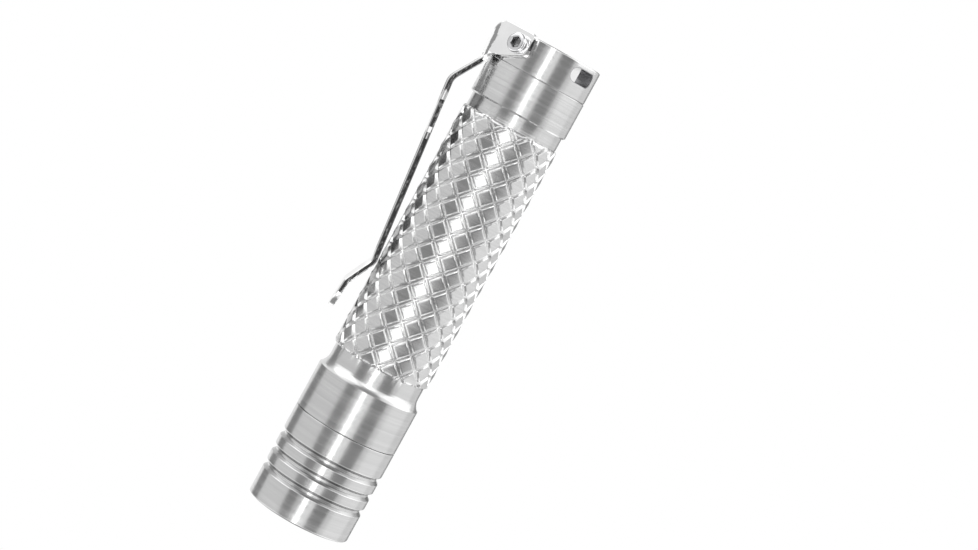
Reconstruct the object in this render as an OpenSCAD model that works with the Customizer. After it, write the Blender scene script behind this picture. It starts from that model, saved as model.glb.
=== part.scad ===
// Twist-head keychain flashlight for one AAA cell, turned from stainless steel.
// Millimetres. +Z runs along the light from the bezel (z = 0) to the tail.
// The pocket clip faces -Y. The light is drawn tightened, with its cell in.

/* [Cell] */
// Diameter of the cell
cell_d = 10.5; // [9:0.1:15]
// Length of the cell, from the end plate to the tip of its button
cell_l = 44.5; // [25:0.5:70]
// Diameter of the cell's button
nub_d = 3.8; // [3:0.1:5]
// Height of the cell's button
nub_h = 0.8; // [0.6:0.1:1.5]

/* [Tube] */
// Radial room round the cell in the tube
cell_gap = 0.2; // [0.1:0.05:0.6]
// Wall of the threaded stud that enters the head
stud_wall = 0.7; // [0.6:0.05:1.5]
// Length of that stud
stud_l = 3.95; // [3.4:0.05:8]
// Wall of the knurled barrel
barrel_wall = 1.225; // [1:0.025:2.5]
// Depth of the knurling, which is also the step down to the neck
knurl_depth = 0.4; // [0.2:0.05:0.6]
// Length of the plain band behind the head
band_l = 6; // [3:0.5:12]
// Length of the hollow flare behind the band
flare_l = 1.5; // [1:0.1:2.5]
// Length of the neck between the flare and the barrel
neck_l = 1.6; // [0.8:0.1:4]
// Length of the narrow collar behind the barrel
collar_l = 1.8; // [0.8:0.1:4]
// Wall round the threads of the tail section
tail_wall = 0.85; // [0.7:0.05:1.6]

/* [Head] */
// Wall of the head round its threads
head_wall = 0.8; // [0.7:0.05:1.6]
// Thickness of the bezel's lip
lip_t = 0.7; // [0.5:0.1:1.5]
// Radial width of the bezel's lip
lip_w = 1.05; // [0.8:0.05:1.6]
// Middle of the first grip groove
groove_z = 4.24; // [3:0.1:5]
// Distance from one grip groove to the next
groove_pitch = 2.275; // [1.8:0.025:2.6]
// Number of grip grooves
groove_n = 3; // [1:1:3]
// Depth of a grip groove
groove_depth = 0.4; // [0.2:0.05:0.5]
// Width of a grip groove at its floor
groove_floor = 0.25; // [0.1:0.05:0.5]

/* [Light engine] */
// Section of the lens's O-ring
lens_ring_d = 0.5; // [0.4:0.05:0.8]
// Thickness of the lens
lens_t = 0.9; // [0.6:0.1:2]
// Length of the reflector
reflector_l = 2.9; // [2.4:0.1:6]
// Radius of the reflector's opening for the emitter
emitter_hole_r = 1.7; // [1.6:0.05:2]
// Side of the emitter's square body
emitter_w = 3.45; // [3:0.05:4]
// Height of the emitter's body, and of the gasket round it
gasket_t = 0.4; // [0.3:0.05:0.8]
// Thickness of the emitter's board
led_board_t = 0.7; // [0.5:0.05:1.6]
// Thickness of the heat sink's floor
sink_floor = 0.4; // [0.3:0.05:1]
// Room for components behind that floor
sink_room = 0.9; // [0.88:0.02:2]
// Thickness of the driver board
driver_t = 0.7; // [0.4:0.05:1.2]
// Thickness of the ring that holds the driver
driver_ring_t = 0.7; // [0.5:0.05:1.5]
// Distance of the emitter's wires from the axis
wire_x = 4.2; // [4:0.1:4.4]
// Diameter of those wires
wire_d = 0.38; // [0.3:0.02:0.4]

/* [Tail] */
// Step from the bore to the tail's threads
tail_step = 0.4; // [0.3:0.05:0.8]
// Length of the tail spring, pressed by the cell
spring_l = 4.86; // [4:0.05:10]
// Thickness of the spring's wire
spring_wire = 0.5; // [0.3:0.05:0.6]
// Thickness of the tail's contact board
tail_board_t = 0.7; // [0.5:0.05:1.2]
// Thickness of the ring that holds that board
tail_ring_t = 0.8; // [0.6:0.05:1.5]
// Length of the tail cap's threaded stud
cap_stud_l = 2.7; // [2.4:0.1:6]
// Length of the tail cap outside the tube
cap_l = 4.4; // [4.2:0.1:8]
// Depth of the cup in the tail
cup_depth = 3; // [2.6:0.1:3.2]
// Radius of the cup
cup_r = 4.3; // [3.5:0.1:4.5]
// Height of a keyring slot
slot_h = 1.85; // [1.4:0.05:2]
// Middle of a keyring slot, below the tail's end
slot_drop = 1.6; // [1.5:0.05:1.8]
// Angle from the clip to a slot's shallow end
slot_from = 116; // [110:1:120]
// Angle from the clip to the end of the shallow part
slot_mid = 132; // [128:1:136]
// Angle from the clip to a slot's far end
slot_to = 151; // [145:1:156]
// Depth of the shallow part
slot_sink = 0.5; // [0.3:0.05:0.8]

/* [Clip] */
// Thickness of the clip's spring steel
clip_t = 0.7; // [0.5:0.05:0.9]
// Angle from the clip's middle to each screw
screw_angle = 54; // [50:1:60]
// Distance of the screws below the tail's end
screw_drop = 1.7; // [1.6:0.05:2]
// Length of an ear beyond its screw
ear_end = 1.8; // [1.5:0.1:2.2]
// How far the clip stands past the tail's end
ear_proud = 0.3; // [0:0.05:0.5]
// How much further from the axis the clip's front panel stands than its ears
panel_out = 0.4; // [0.2:0.05:0.7]
// Inner radius of the bends between panel and ears
ear_bend_r = 2; // [1:0.1:2.5]
// Width of the clip's neck
clip_neck_w = 7; // [6:0.1:8]
// Width of the waist below the neck
clip_waist_w = 5.75; // [5:0.05:6.5]
// Width of the clip's shoulder, below the waist
clip_shoulder_w = 6.5; // [6:0.1:7.5]
// Width of the clip's blade at its tip
clip_tip_w = 5.2; // [4.4:0.1:6]
// How far the clip's back stands off the barrel at its top bend
clip_rise = 2.47; // [1.5:0.05:3.5]
// How far the clip's tip turns out from the barrel
clip_flare = 1.95; // [1.2:0.05:3]
// Distances below the tail's end: first bend, top bend, touch, end of flare, tip
clip_bend_1 = 5.4; // [5:0.1:6]
// Second bend of the clip
clip_bend_2 = 10.4; // [9:0.1:12]
// Where the clip touches the barrel
clip_touch = 34.1; // [24:0.1:38]
// Where the tip has turned out
clip_turned = 37.9; // [26:0.1:42]
// End of the clip
clip_end = 41.7; // [30:0.1:48]
// Diameter of a clip screw's thread
screw_d = 1.4; // [1.2:0.1:1.6]
// Diameter of its head
screw_head_d = 2.6; // [2.4:0.1:3]
// Height of its head
screw_head_h = 1.1; // [0.8:0.05:1.4]
// Width of its hexagon socket across the flats
screw_hex = 1.3; // [0.9:0.05:1.3]

/* [Fits] */
// Radial room of the threads and of the seals in their bores
thread_gap = 0.05; // [0.03:0.01:0.1]
// Room between pieces that only lie against each other
seat_gap = 0.02; // [0.01:0.01:0.05]
// Room between the faces of pieces that move
face_gap = 0.05; // [0.03:0.01:0.1]
// Section of the two body O-rings
seal_d = 0.5; // [0.4:0.05:0.6]
// Edge break on turned edges
edge = 0.25; // [0.1:0.05:0.3]

/* [Hidden] */
$fn = 96;

// Radii, from the cell outwards
bore_r = cell_d / 2 + cell_gap;
stud_r = bore_r + stud_wall;
head_bore_r = stud_r + thread_gap;
head_r = head_bore_r + head_wall;
barrel_r = bore_r + barrel_wall;
neck_r = barrel_r - knurl_depth;
collar_r = neck_r + 0.05;
tail_bore_r = bore_r + tail_step;
tail_r = tail_bore_r + tail_wall;
cap_r = tail_r - 0.05;
cap_stud_r = tail_bore_r - thread_gap;
optic_bore_r = head_bore_r - 0.4;
optic_r = optic_bore_r - thread_gap;

// Heights in the head, from the bezel back
lens_ring_z = lip_t;
lens_z = lens_ring_z + lens_ring_d;
reflector_z = lens_z + lens_t;
gasket_z = reflector_z + reflector_l;
led_board_z = gasket_z + gasket_t;
sink_z = led_board_z + led_board_t;
sink_back = sink_z + sink_floor;
driver_z = sink_back + sink_room;
driver_back = driver_z + driver_t;
head_ring_back = driver_back + driver_ring_t;
tube_z = head_ring_back + face_gap;
head_l = tube_z + stud_l;

// Heights in the cell and the tube
contact_l = 1.1;
cell_z = driver_back + contact_l + seat_gap;
cell_back = cell_z + cell_l;
spring_z = cell_back + seat_gap;
seat_z = spring_z + spring_l + seat_gap;
flare_z = head_l + band_l;
neck_z = flare_z + flare_l;
barrel_z = neck_z + neck_l;
tail_z = seat_z - 0.8;
collar_z = tail_z - collar_l;
tail_ring_z = seat_z + tail_board_t + seat_gap;
cap_stud_z = tail_ring_z + tail_ring_t + 2 * face_gap;
cap_z = cap_stud_z + cap_stud_l;
tail_end = cap_z + cap_l;
clip_top = tail_end + ear_proud;
screw_z = tail_end - screw_drop;

// The seals lie in grooves behind their threads
seal_gap = 0.02;
seal_groove = seal_d + 0.15;
head_seal_z = head_l - 0.25 - seal_groove;
tail_seal_z = cap_z - 0.2 - seal_groove;

// Surfaces of the clip, as distances from the axis
ear_y = cap_r + face_gap;
panel_y = ear_y + panel_out;
clip_touch_y = barrel_r + face_gap;
clip_split_z = tail_end - clip_bend_1;

steel = [0.80, 0.80, 0.79];
polished = [0.62, 0.62, 0.64];
brass = [0.80, 0.66, 0.36];
rubber = [0.10, 0.10, 0.10];
board = [0.10, 0.30, 0.18];

// A ring of rectangular section
module ring(inner, outer, z, h) {
    translate([0, 0, z]) difference() {
        cylinder(r = outer, h = h);
        translate([0, 0, -1]) cylinder(r = inner, h = h + 2);
    }
}

// A straight round bar along Z
module bar(r, z, h) {
    translate([0, 0, z]) cylinder(r = r, h = h);
}

// A cylinder with broken edges, as its half section for turning
module turned_section(r, z0, z1, bottom, top) {
    polygon([
        [0, z0], [r - bottom, z0], [r, z0 + bottom],
        [r, z1 - top], [r - top, z1], [0, z1]
    ]);
}

// The half section of one grip groove
module groove_section(z) {
    reach = groove_depth + 1;
    polygon([
        [head_r - groove_depth, z - groove_floor / 2],
        [head_r + 1, z - groove_floor / 2 - reach],
        [head_r + 1, z + groove_floor / 2 + reach],
        [head_r - groove_depth, z + groove_floor / 2]
    ]);
}

// A round rubber ring that a groove holds
module seal(r, z, d) {
    translate([0, 0, z]) rotate_extrude() translate([r, 0]) circle(d = d, $fn = 32);
}

// The tube: stud, band, flare, neck, barrel, collar and tail section in one piece
module body_tube() {
    flare_drop = head_r - neck_r;
    flare_r = (flare_l * flare_l + flare_drop * flare_drop) / (2 * flare_drop);
    break_r = 0.1;
    color(steel) difference() {
        rotate_extrude() difference() {
            union() {
                turned_section(stud_r, tube_z, head_l + 1, 0.3, 0);
                turned_section(head_r, head_l, flare_z, break_r, 0);
                translate([0, flare_z - 1]) square([head_r, flare_l + 1]);
                translate([0, neck_z - 1]) square([neck_r, barrel_z - neck_z + 2]);
                turned_section(barrel_r, barrel_z, collar_z, 0.4, 0.2);
                translate([0, collar_z - 1]) square([collar_r, collar_l + 2]);
                turned_section(tail_r, tail_z, cap_z, 0.2, break_r);
            }
            translate([neck_r + flare_r, neck_z]) circle(r = flare_r);
            translate([neck_r + flare_r - 1, neck_z]) square([2, neck_l]);
            translate([neck_r, neck_z]) square([flare_r, min(flare_r, neck_l)]);
            translate([head_bore_r - 2 * seal_gap - seal_d, head_seal_z]) square([1, seal_groove]);
        }
        bar(bore_r, tube_z - 1, seat_z - tube_z + 2);
        bar(tail_bore_r, seat_z, cap_z - seat_z + 1);
    }
}

// The seal between tube and head
module head_o_ring() {
    r = head_bore_r - seal_gap - seal_d / 2;
    color(rubber) seal(r, head_seal_z + seal_groove / 2, seal_d);
}

// The round board that carries the tail spring
module tail_contact_board() {
    color(board) bar(tail_bore_r - 0.1, seat_z, tail_board_t);
}

// The threaded ring that clamps that board, with two spanner notches
module tail_retaining_ring() {
    inner = tail_bore_r - 1.35;
    color(brass) difference() {
        ring(inner, cap_stud_r, tail_ring_z, tail_ring_t);
        for (side = [-1, 1])
            translate([side * (inner + 0.2) - 0.5, -0.5, tail_ring_z + tail_ring_t / 2])
                cube([1, 1, tail_ring_t]);
    }
}

// The tail spring as the sleeve that its turns fill, open in the middle
module tail_spring() {
    wide = 4.1;
    narrow = 2.6;
    color(polished) rotate_extrude() polygon([
        [wide - spring_wire, spring_z + spring_l], [wide, spring_z + spring_l],
        [narrow, spring_z], [narrow - spring_wire, spring_z]
    ]);
}

// The cell's steel can, with the button pressed into its front
module cell_can() {
    wrap = 0.15;
    can_r = cell_d / 2 - wrap;
    shoulder = cell_z + nub_h;
    color(polished) difference() {
        rotate_extrude() union() {
            turned_section(nub_d / 2, cell_z, shoulder + 1, 0.2, 0);
            turned_section(can_r, shoulder, cell_back, 0.5, 0);
        }
        bar(can_r - 0.3, cell_back - 1.6, 2);
    }
}

// The printed sleeve round the can
module cell_wrapper() {
    wrap = 0.15;
    z = cell_z + nub_h + 0.6;
    color([0.16, 0.20, 0.28])
        ring(cell_d / 2 - wrap + 0.01, cell_d / 2, z, cell_back - z - 0.1);
}

// The nylon seal in the can's open end
module cell_seal() {
    outer = cell_d / 2 - 0.15 - 0.3 - seat_gap;
    color([0.85, 0.85, 0.80]) bar(outer, cell_back - 1.55, 0.95);
}

// The steel plate that is the cell's negative end
module cell_end_plate() {
    outer = cell_d / 2 - 0.15 - 0.3 - 0.25;
    color(polished) bar(outer, cell_back - 0.58, 0.58);
}

// The head: bezel, grip grooves and the bore for optics, driver and tube
module head_shell() {
    lip_r = optic_bore_r - lip_w;
    color(steel) difference() {
        rotate_extrude() difference() {
            turned_section(head_r, 0, head_l - seat_gap, edge, 0.1);
            for (i = [0 : groove_n - 1]) groove_section(groove_z + i * groove_pitch);
            polygon([[0, -1], [lip_r + lip_t + 1, -1], [lip_r, lip_t], [0, lip_t]]);
        }
        bar(lip_r, -1, lip_t + 2);
        bar(optic_bore_r, lip_t, driver_back - lip_t + 1);
        bar(head_bore_r, driver_back, head_l);
    }
}

// The ring that seals the lens against the lip
module lens_o_ring() {
    color(rubber) seal(optic_r - lens_ring_d / 2 - 0.1, lens_ring_z + lens_ring_d / 2, lens_ring_d);
}

// The flat glass lens
module lens() {
    color([0.8, 0.9, 0.95, 0.4]) bar(optic_r, lens_z, lens_t - seat_gap);
}

// The bowl reflector, a parabola from the emitter's hole to its rim
module reflector() {
    mouth = optic_r - 0.45;
    steps = 10;
    color([0.85, 0.85, 0.87]) rotate_extrude() polygon(concat(
        [[emitter_hole_r + 0.5, gasket_z - seat_gap], [emitter_hole_r, gasket_z - seat_gap]],
        [for (i = [0 : steps])
            let (r = emitter_hole_r + (mouth - emitter_hole_r) * i / steps)
            [r, gasket_z - 0.25 - (reflector_l - 0.25)
                * (r * r - emitter_hole_r * emitter_hole_r)
                / (mouth * mouth - emitter_hole_r * emitter_hole_r)]],
        [[optic_r, reflector_z], [optic_r, reflector_z + 0.8], [mouth - 0.6, gasket_z - 0.9],
            [3.2, gasket_z - seat_gap]]
    ));
}

// The white plastic frame that centres the emitter under the reflector
module led_gasket() {
    hole = emitter_w + 2 * seat_gap;
    color([0.92, 0.92, 0.90]) difference() {
        bar(3.1, gasket_z, gasket_t);
        translate([-hole / 2, -hole / 2, gasket_z - 1]) cube([hole, hole, gasket_t + 2]);
    }
}

// The copper-cored board under the emitter, notched for its two wires
module led_board() {
    color(board) difference() {
        bar(optic_r - 0.35, led_board_z, led_board_t);
        for (side = [-1, 1]) translate([side * (wire_x + 0.6), 0, 0])
            translate([-0.95, -0.45, led_board_z - 1]) cube([3, 0.9, led_board_t + 2]);
    }
}

// The emitter's ceramic body
module led_emitter() {
    color([0.95, 0.90, 0.55])
        translate([-emitter_w / 2, -emitter_w / 2, gasket_z])
            cube([emitter_w, emitter_w, gasket_t]);
}

// The silicone dome over the emitter
module led_dome() {
    dome_r = emitter_hole_r - 0.3;
    color([0.95, 0.95, 0.75, 0.6]) intersection() {
        translate([0, 0, gasket_z + 0.2]) sphere(r = dome_r);
        bar(dome_r, gasket_z - dome_r, dome_r - seat_gap);
    }
}

// The brass cup that carries the emitter's board and leads its heat to the head
module heat_sink() {
    z = sink_z + seat_gap;
    color(brass) difference() {
        bar(optic_r, z, driver_z - z - seat_gap);
        bar(optic_r - 0.6, sink_back, sink_room + 1);
        for (side = [-1, 1]) translate([side * wire_x, 0, 0]) bar(0.5, sink_z - 1, 3);
    }
}

// One wire from the driver, up through the heat sink and over to the emitter's board
module led_wire(side) {
    r = wire_d / 2;
    run = 0.8;
    top = led_board_z - r - seat_gap / 2;
    translate([side * wire_x, 0, 0]) bar(r, top, driver_z - top - seat_gap);
    translate([side * wire_x, 0, top]) sphere(r = r);
    translate([side * (wire_x - run), 0, top]) rotate([0, side * 90, 0]) cylinder(r = r, h = run);
}

module led_wire_positive() {
    color([0.75, 0.10, 0.08]) led_wire(1);
}

module led_wire_negative() {
    color([0.12, 0.12, 0.12]) led_wire(-1);
}

// The driver's round circuit board
module driver_board() {
    color(board) bar(optic_r, driver_z, driver_t);
}

// A component soldered on the driver's front face
module chip(x, y, w, d, h) {
    translate([x - w / 2, y - d / 2, driver_z - seat_gap - h]) cube([w, d, h]);
}

module driver_inductor() {
    color([0.25, 0.25, 0.26]) chip(0, 1.9, 2.6, 2.6, 0.8);
}

module driver_ic() {
    color([0.08, 0.08, 0.09]) chip(0, -1.7, 1.7, 1.5, 0.6);
}

module driver_capacitors() {
    color([0.70, 0.58, 0.42]) for (side = [-1, 1]) chip(side * 2.3, -1.9, 1.0, 1.6, 0.7);
}

module driver_resistors() {
    color([0.12, 0.12, 0.14]) for (x = [-1.1, 0, 1.1]) chip(x, -3.4, 0.5, 0.9, 0.35);
}

module driver_diode() {
    color([0.10, 0.10, 0.10]) chip(2.6, 1.9, 1.2, 1.9, 0.6);
}

// The brass contact that meets the cell's button
module positive_contact() {
    color(brass) rotate_extrude()
        turned_section(1.5, driver_back, driver_back + contact_l, 0, 0.15);
}

// The soft ring that cushions the cell round the contact
module contact_foam() {
    color(rubber) ring(1.8, 3.4, driver_back, contact_l - 0.3);
}

// The threaded ring that clamps driver and heat sink, with two spanner notches
module driver_retaining_ring() {
    inner = optic_r - 1.3;
    z = driver_back + seat_gap;
    color(brass) difference() {
        ring(inner, stud_r, z, driver_ring_t - seat_gap);
        for (side = [-1, 1])
            translate([side * (inner + 0.2) - 0.5, -0.5, z + driver_ring_t / 2])
                cube([1, 1, driver_ring_t]);
    }
}

// The seal between tube and tail cap
module tail_o_ring() {
    r = tail_bore_r - seal_gap - seal_d / 2;
    color(rubber) seal(r, tail_seal_z + seal_groove / 2, seal_d);
}

// The outline, seen from the end, of one stretch of slot between two angles
module slot_wedge(a0, a1) {
    far = 2 * cap_r;
    polygon([
        [0, 0],
        far * [sin(a0), -cos(a0)],
        far * [sin((a0 + a1) / 2), -cos((a0 + a1) / 2)],
        far * [sin(a1), -cos(a1)]
    ]);
}

// One keyring slot: a shallow run-in, then a hole into the cup
module keyring_slot() {
    z = tail_end - slot_drop - slot_h / 2;
    translate([0, 0, z]) linear_extrude(height = slot_h) {
        slot_wedge(slot_mid, slot_to);
        difference() {
            slot_wedge(slot_from, slot_mid + 1);
            circle(r = cap_r - slot_sink);
        }
    }
}

// The tail cap: threaded stud, skirt, cup and keyring slots
module tail_cap() {
    color(steel) difference() {
        rotate_extrude() difference() {
            union() {
                turned_section(cap_stud_r, cap_stud_z, cap_z + 1, 0.2, 0);
                turned_section(cap_r, cap_z + seat_gap, tail_end, 0.1, edge);
            }
            translate([tail_bore_r - 2 * seal_gap - seal_d, tail_seal_z]) square([1, seal_groove]);
            translate([0, tail_end - cup_depth]) square([cup_r, cup_depth + 1]);
        }
        keyring_slot();
        mirror([1, 0, 0]) keyring_slot();
        for (side = [-1, 1]) rotate([0, 0, side * screw_angle]) translate([0, 0, screw_z])
            rotate([90, 0, 0]) cylinder(d = screw_d + 2 * seat_gap, h = 2 * cap_r);
    }
}

// One clip screw along -Y, its head against the ear
module clip_screw() {
    shank = ear_y + clip_t - cup_r - 0.5;
    seat = ear_y + clip_t + seat_gap;
    translate([0, -seat, screw_z]) rotate([90, 0, 0]) difference() {
        union() {
            rotate_extrude() turned_section(screw_head_d / 2, 0, screw_head_h, 0, 0.25);
            translate([0, 0, -shank]) cylinder(d = screw_d, h = shank + 0.1);
        }
        translate([0, 0, screw_head_h * 0.4])
            cylinder(d = screw_hex / cos(30), h = screw_head_h, $fn = 6);
    }
}

module clip_screws() {
    color(polished) for (side = [-1, 1]) rotate([0, 0, side * screw_angle]) clip_screw();
}

// The clip's head seen from the end: flat panel, two bends and two flat ears
module clip_plan() {
    bend_y = panel_y - ear_bend_r;
    bend_x = (ear_y - ear_bend_r - bend_y * cos(screw_angle)) / sin(screw_angle);
    reach = bend_x * cos(screw_angle) - bend_y * sin(screw_angle);
    lap = 0.01;
    translate([-bend_x - lap, -panel_y - clip_t]) square([2 * (bend_x + lap), clip_t]);
    for (side = [0, 1]) mirror([side, 0]) {
        translate([bend_x, -bend_y]) intersection() {
            difference() {
                circle(r = ear_bend_r + clip_t);
                circle(r = ear_bend_r);
            }
            polygon([
                [0, 0], [0, -20], [20 * sin(screw_angle / 2), -20 * cos(screw_angle / 2)],
                [20 * sin(screw_angle), -20 * cos(screw_angle)]
            ]);
        }
        rotate(screw_angle) translate([reach - lap, -ear_y - clip_t])
            square([ear_end - reach + lap, clip_t]);
    }
}

// What the clip's head leaves open below one ear, seen from the front
module ear_undercut() {
    corner = 1.7;
    low = screw_z - 2;
    x = clip_neck_w / 2;
    union() {
        translate([x + corner, low - corner]) circle(r = corner);
        translate([x, low - 10]) square([20, 10 - corner]);
        polygon([[x + corner, low - 10], [20, low - 10], [20, low + 7], [x + corner, low]]);
    }
}

// The clip's head, from its ears down to the first bend
module clip_mount() {
    notch_r = 3.6;
    notch_up = 1.32;
    color(polished) difference() {
        translate([0, 0, clip_split_z + face_gap / 2])
            linear_extrude(height = clip_top - clip_split_z - face_gap / 2) clip_plan();
        translate([0, 0, clip_top + notch_up]) rotate([90, 0, 0])
            cylinder(r = notch_r, h = 4 * cap_r);
        for (side = [0, 1]) mirror([side, 0, 0])
            translate([0, 4 * cap_r, 0]) rotate([90, 0, 0])
                linear_extrude(height = 8 * cap_r) ear_undercut();
        for (side = [-1, 1]) rotate([0, 0, side * screw_angle]) translate([0, 0, screw_z])
            rotate([90, 0, 0]) cylinder(d = screw_d + 0.15, h = 2 * cap_r);
        clip_slots();
    }
}

// Half widths of the clip, each with its distance below the tail's end
function clip_half_widths() = [
    [clip_neck_w / 2, clip_bend_1 - 2],
    [clip_neck_w / 2, clip_bend_2 + 0.2],
    [clip_waist_w / 2, clip_bend_2 + 1.7],
    [clip_waist_w / 2, clip_bend_2 + 5.1],
    [clip_shoulder_w / 2, clip_bend_2 + 7],
    [clip_tip_w / 2 + 0.1, clip_touch - 1.4]
];

// The clip seen from the front, below its first bend, with a round tip
module clip_front() {
    half = clip_half_widths();
    tip_r = clip_tip_w / 2;
    tip_z = tail_end - clip_end + tip_r;
    polygon(concat(
        [for (p = half) [p[0], tail_end - p[1]]],
        [for (a = [0 : 7.5 : 180]) [tip_r * cos(a), tip_z - tip_r * sin(a)]],
        [for (i = [len(half) - 1 : -1 : 0]) [-half[i][0], tail_end - half[i][1]]]
    ));
}

// The two round-ended slots through the clip
module clip_slots() {
    upper = [4.2, 12.85, 3.4, 3.4];
    lower = [clip_bend_2 + 6.1, clip_touch - 0.6, 3.0, 2.45];
    for (s = [upper, lower]) translate([0, -cap_r, 0]) rotate([90, 0, 0])
        linear_extrude(height = 2 * cap_r) {
            translate([0, tail_end - s[0] - s[2] / 2]) circle(d = s[2]);
            translate([0, tail_end - s[1] + s[3] / 2]) circle(d = s[3]);
            polygon([
                [-s[2] / 2, tail_end - s[0] - s[2] / 2], [-s[3] / 2, tail_end - s[1] + s[3] / 2],
                [s[3] / 2, tail_end - s[1] + s[3] / 2], [s[2] / 2, tail_end - s[0] - s[2] / 2]
            ]);
        }
}

// The clip's bent line from the side, as distances of its back from the axis
module clip_side() {
    top_y = clip_touch_y + clip_rise;
    tip_y = clip_touch_y + clip_flare;
    line = [
        [panel_y, clip_split_z - face_gap / 2],
        [top_y, tail_end - clip_bend_2],
        [clip_touch_y, tail_end - clip_touch],
        [tip_y, tail_end - clip_turned],
        [tip_y + 0.25, tail_end - clip_end]
    ];
    polygon(concat(
        [for (p = line) [-p[0], p[1]]],
        [for (i = [len(line) - 1 : -1 : 0]) [-line[i][0] - clip_t, line[i][1]]]
    ));
}

// The clip's springy arm, from the first bend down to its turned-out tip
module clip_arm() {
    color(polished) difference() {
        intersection() {
            translate([-clip_neck_w, 0, 0]) rotate([90, 0, 90])
                linear_extrude(height = 2 * clip_neck_w) clip_side();
            rotate([90, 0, 0]) linear_extrude(height = 4 * cap_r) clip_front();
        }
        clip_slots();
    }
}

body_tube();
head_o_ring();
tail_contact_board();
tail_retaining_ring();
tail_spring();
cell_can();
cell_wrapper();
cell_seal();
cell_end_plate();
head_shell();
lens_o_ring();
lens();
reflector();
led_gasket();
led_board();
led_emitter();
led_dome();
heat_sink();
led_wire_positive();
led_wire_negative();
driver_board();
driver_inductor();
driver_ic();
driver_capacitors();
driver_resistors();
driver_diode();
positive_contact();
contact_foam();
driver_retaining_ring();
tail_o_ring();
tail_cap();
clip_screws();
clip_mount();
clip_arm();
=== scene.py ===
import math

import bmesh
import bpy
from mathutils import Matrix, Vector, kdtree


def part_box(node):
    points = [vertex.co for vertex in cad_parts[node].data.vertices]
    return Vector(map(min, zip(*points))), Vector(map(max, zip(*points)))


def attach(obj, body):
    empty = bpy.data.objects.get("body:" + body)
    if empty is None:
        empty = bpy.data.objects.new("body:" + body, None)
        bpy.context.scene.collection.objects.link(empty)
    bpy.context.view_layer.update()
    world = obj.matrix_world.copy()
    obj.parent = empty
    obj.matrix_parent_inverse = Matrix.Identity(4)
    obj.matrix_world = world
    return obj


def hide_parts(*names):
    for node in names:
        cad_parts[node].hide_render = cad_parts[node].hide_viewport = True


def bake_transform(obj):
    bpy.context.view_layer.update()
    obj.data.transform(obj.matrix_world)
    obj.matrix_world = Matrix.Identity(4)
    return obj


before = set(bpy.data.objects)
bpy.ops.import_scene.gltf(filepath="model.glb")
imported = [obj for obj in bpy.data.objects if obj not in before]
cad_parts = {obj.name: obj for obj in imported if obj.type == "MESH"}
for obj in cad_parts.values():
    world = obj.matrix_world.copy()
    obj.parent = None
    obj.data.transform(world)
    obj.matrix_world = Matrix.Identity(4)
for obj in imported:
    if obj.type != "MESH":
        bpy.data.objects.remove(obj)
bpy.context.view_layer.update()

mm = 0.001

# ---------------------------------------------------------------------------------------------
# The tube. One bar of stainless steel: a threaded stud for the head, a plain band, a hollow
# flare, a neck, the diamond-knurled barrel, a collar and the tail section with its own thread.
# It is turned first and knurled last, so the knurl's grooves run out on to neck and collar.
# ---------------------------------------------------------------------------------------------


class Value:
    """A socket that adds its Math nodes by itself when it is used in an expression."""

    def __init__(self, tree, socket):
        self.tree, self.socket = tree, socket

    def node(self, kind, settings=None, out=0, **sockets):
        """A new node with these settings and inputs (i0 is input 0), as its output number out."""
        made = self.tree.nodes.new(kind)
        for name, value in (settings or {}).items():
            setattr(made, name, value)
        for name, value in sockets.items():
            key = int(name[1:]) if name[0] == "i" and name[1:].isdigit() else name.replace("_", " ")
            if isinstance(value, Value):
                self.tree.links.new(value.socket, made.inputs[key])
            else:
                made.inputs[key].default_value = value
        return Value(self.tree, made.outputs[out])

    def math(self, operation, *others):
        sockets = {f"i{i}": v for i, v in enumerate((self, *others))}
        return self.node("ShaderNodeMath", {"operation": operation}, **sockets)

    def __add__(self, other):
        return self.math("ADD", other)

    def __sub__(self, other):
        return self.math("SUBTRACT", other)

    def __mul__(self, other):
        return self.math("MULTIPLY", other)

    def __truediv__(self, other):
        return self.math("DIVIDE", other)

    def __rtruediv__(self, other):
        return self.node("ShaderNodeMath", {"operation": "DIVIDE"}, i0=other, i1=self)

    def __rsub__(self, other):
        return self.node("ShaderNodeMath", {"operation": "SUBTRACT"}, i0=other, i1=self)

    __radd__, __rmul__ = __add__, __mul__

    def parts(self):
        """The x, y and z of a position."""
        split = self.node("ShaderNodeSeparateXYZ", {}, Vector=self).socket.node
        return [Value(self.tree, split.outputs[i]) for i in range(3)]

    def clamp(self, low=0.0, high=1.0):
        return self.math("MAXIMUM", low).math("MINIMUM", high)

    def step(self, low, high):
        """0 below low, 1 above high, smooth between them."""
        return self.node("ShaderNodeMapRange", {"interpolation_type": "SMOOTHSTEP"},
                         i0=self, i1=low, i2=high, i3=0.0, i4=1.0)

    def mix(self, a, b):
        """Colour a where this is 0, colour b where it is 1."""
        return self.node("ShaderNodeMix", {"data_type": "RGBA"}, out=2, i0=self, i6=a, i7=b)


def new_material(name, base, metallic, roughness, **settings):
    """A material, its shader and a Value to start from: the object's own coordinates."""
    material = bpy.data.materials.new(name)
    material.use_nodes = True
    tree = material.node_tree
    shader = tree.nodes["Principled BSDF"]
    shader.inputs["Base Color"].default_value = (*base, 1)
    shader.inputs["Metallic"].default_value = metallic
    shader.inputs["Roughness"].default_value = roughness
    for key, value in settings.items():
        shader.inputs[key.replace("_", " ")].default_value = value
    place = Value(tree, tree.nodes.new("ShaderNodeTexCoord").outputs["Object"])
    return material, shader, place


def connect(shader, **links):
    """Links values to the shader's inputs, named with _ for a space."""
    for name, value in links.items():
        value.tree.links.new(value.socket, shader.inputs[name.replace("_", " ")])


def noise(place, scale, detail=3.0, stretch=(1, 1, 1)):
    """Noise of that many features per metre, squeezed along the axes as stretch says."""
    spread = place.node("ShaderNodeMapping", {}, Vector=place, Scale=stretch)
    return place.node("ShaderNodeTexNoise", {}, Vector=spread, Scale=scale, Detail=detail)


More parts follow.
